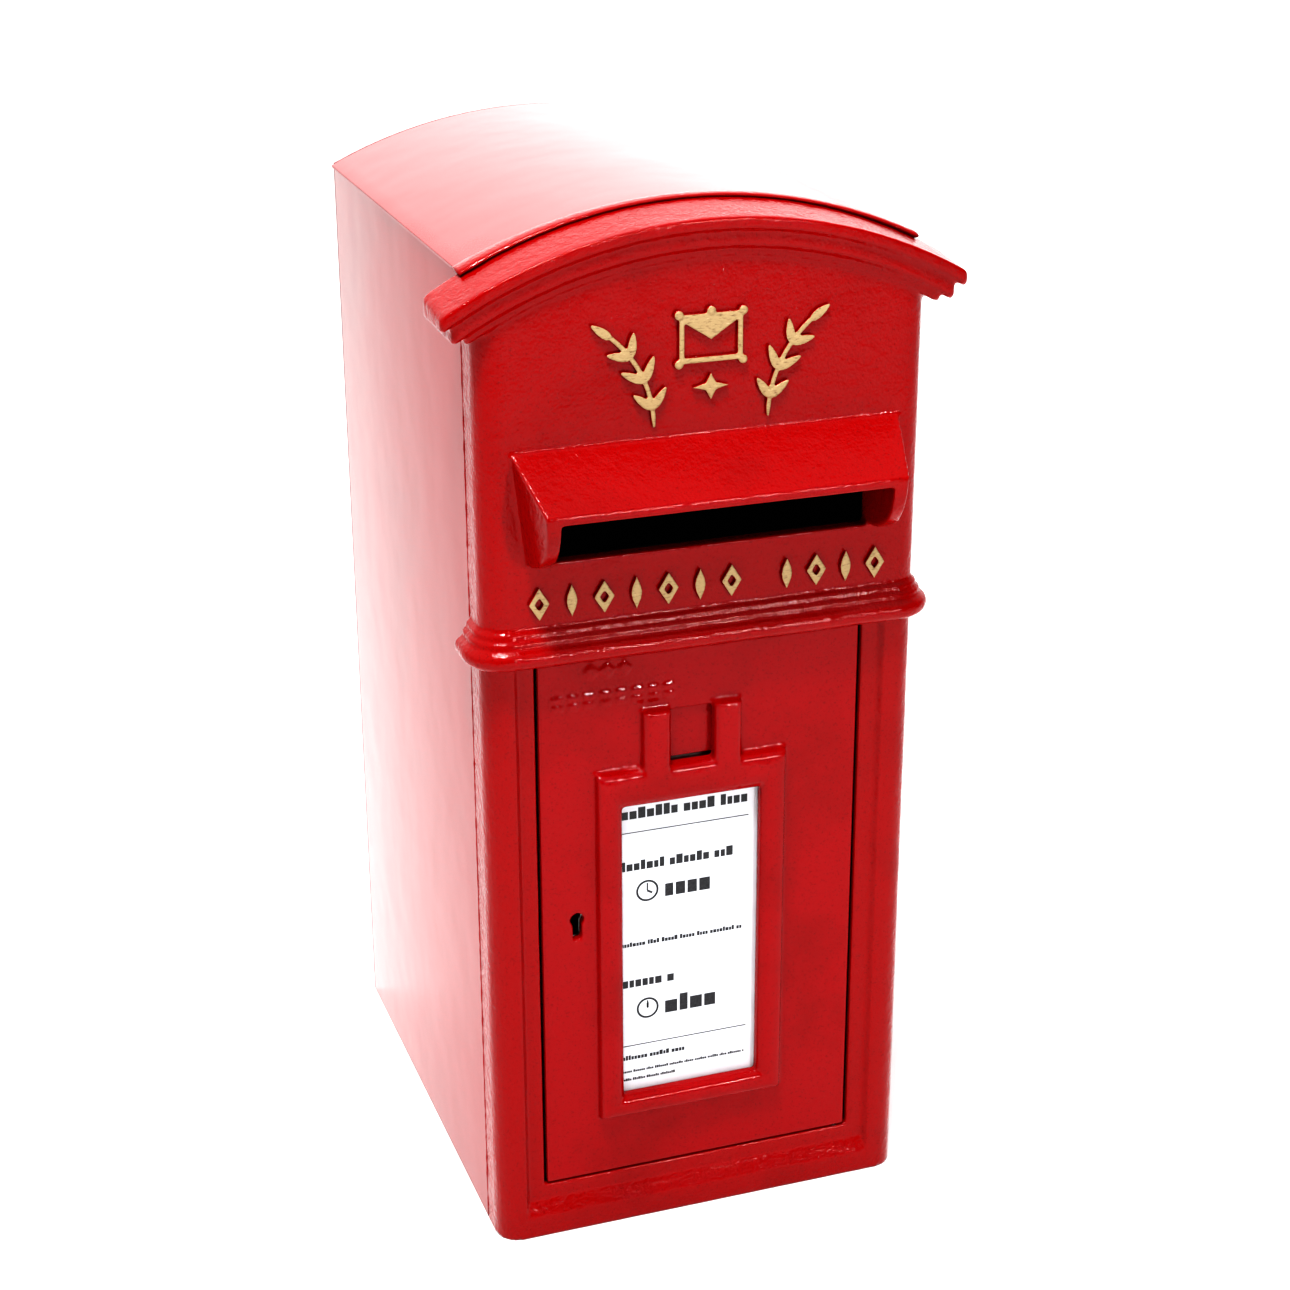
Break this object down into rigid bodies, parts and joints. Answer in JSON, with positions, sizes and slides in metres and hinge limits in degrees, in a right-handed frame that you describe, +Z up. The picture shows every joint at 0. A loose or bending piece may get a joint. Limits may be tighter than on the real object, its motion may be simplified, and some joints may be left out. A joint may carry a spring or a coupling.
{
  "type": "letter-box money box",
  "caption": "Wall letter box used as a money box: cast front with hooded slot and hinged locking door on an arched sheet-metal body.",
  "frame": {"origin": "centre of the footprint on the surface that the box stands on", "axes": "+X to the right seen from the front, front faces -Y, +Z up"},
  "size_m": [0.277, 0.3356, 0.5755],
  "materials": {
    "red_enamel": "thick glossy red enamel over a cast or sheet surface",
    "gilt_paint": "hand-brushed gold paint",
    "card": "matt white card with black print",
    "zinc_steel": "zinc plated",
    "spring_steel": "blued spring strip",
    "brass": "machined"
  },
  "bodies": {
    "casing": {"front_casting": "red_enamel", "left_side_panel": "red_enamel", "right_side_panel": "red_enamel", "roof_panel": "red_enamel", "back_panel": "red_enamel", "base_plate": "red_enamel", "lower_hinge_pin": "zinc_steel", "upper_hinge_pin": "zinc_steel", "front_screw_1": "zinc_steel", "front_screw_2": "zinc_steel", "front_screw_3": "zinc_steel", "front_screw_4": "zinc_steel", "front_screw_5": "zinc_steel", "front_screw_6": "zinc_steel", "back_screw_1": "zinc_steel", "back_screw_2": "zinc_steel", "back_screw_3": "zinc_steel", "back_screw_4": "zinc_steel", "back_screw_5": "zinc_steel", "back_screw_6": "zinc_steel", "left_laurel": "gilt_paint", "right_laurel": "gilt_paint", "crest_envelope": "gilt_paint", "crest_lozenge": "gilt_paint", "row_mark_01": "gilt_paint", "row_mark_02": "gilt_paint", "row_mark_03": "gilt_paint", "row_mark_04": "gilt_paint", "row_mark_05": "gilt_paint", "row_mark_06": "gilt_paint", "row_mark_07": "gilt_paint", "row_mark_08": "gilt_paint", "row_mark_09": "gilt_paint", "row_mark_10": "gilt_paint", "row_mark_11": "gilt_paint"},
    "door": {"door": "red_enamel", "notice_card": "card", "tablet_plate": "red_enamel", "card_backplate": "zinc_steel", "lock_case": "zinc_steel", "lock_cap": "zinc_steel", "detent_spring": "spring_steel", "backplate_screw_1": "zinc_steel", "backplate_screw_2": "zinc_steel", "backplate_screw_3": "zinc_steel", "backplate_screw_4": "zinc_steel", "lock_screw_1": "zinc_steel", "lock_screw_2": "zinc_steel"},
    "bolt": {"lock_bolt": "brass"}
  },
  "joints": [
    {"name": "door_hinge", "type": "hinge", "parent": "casing", "child": "door", "pos_m": [0.0824, -0.12775, 0.188], "axis": [0, 0, 1], "range_deg": [0, 110]},
    {"name": "bolt_throw", "type": "slide", "parent": "door", "child": "bolt", "axis": [-1, 0, 0], "range_m": [0, 0.009]}
  ]
}
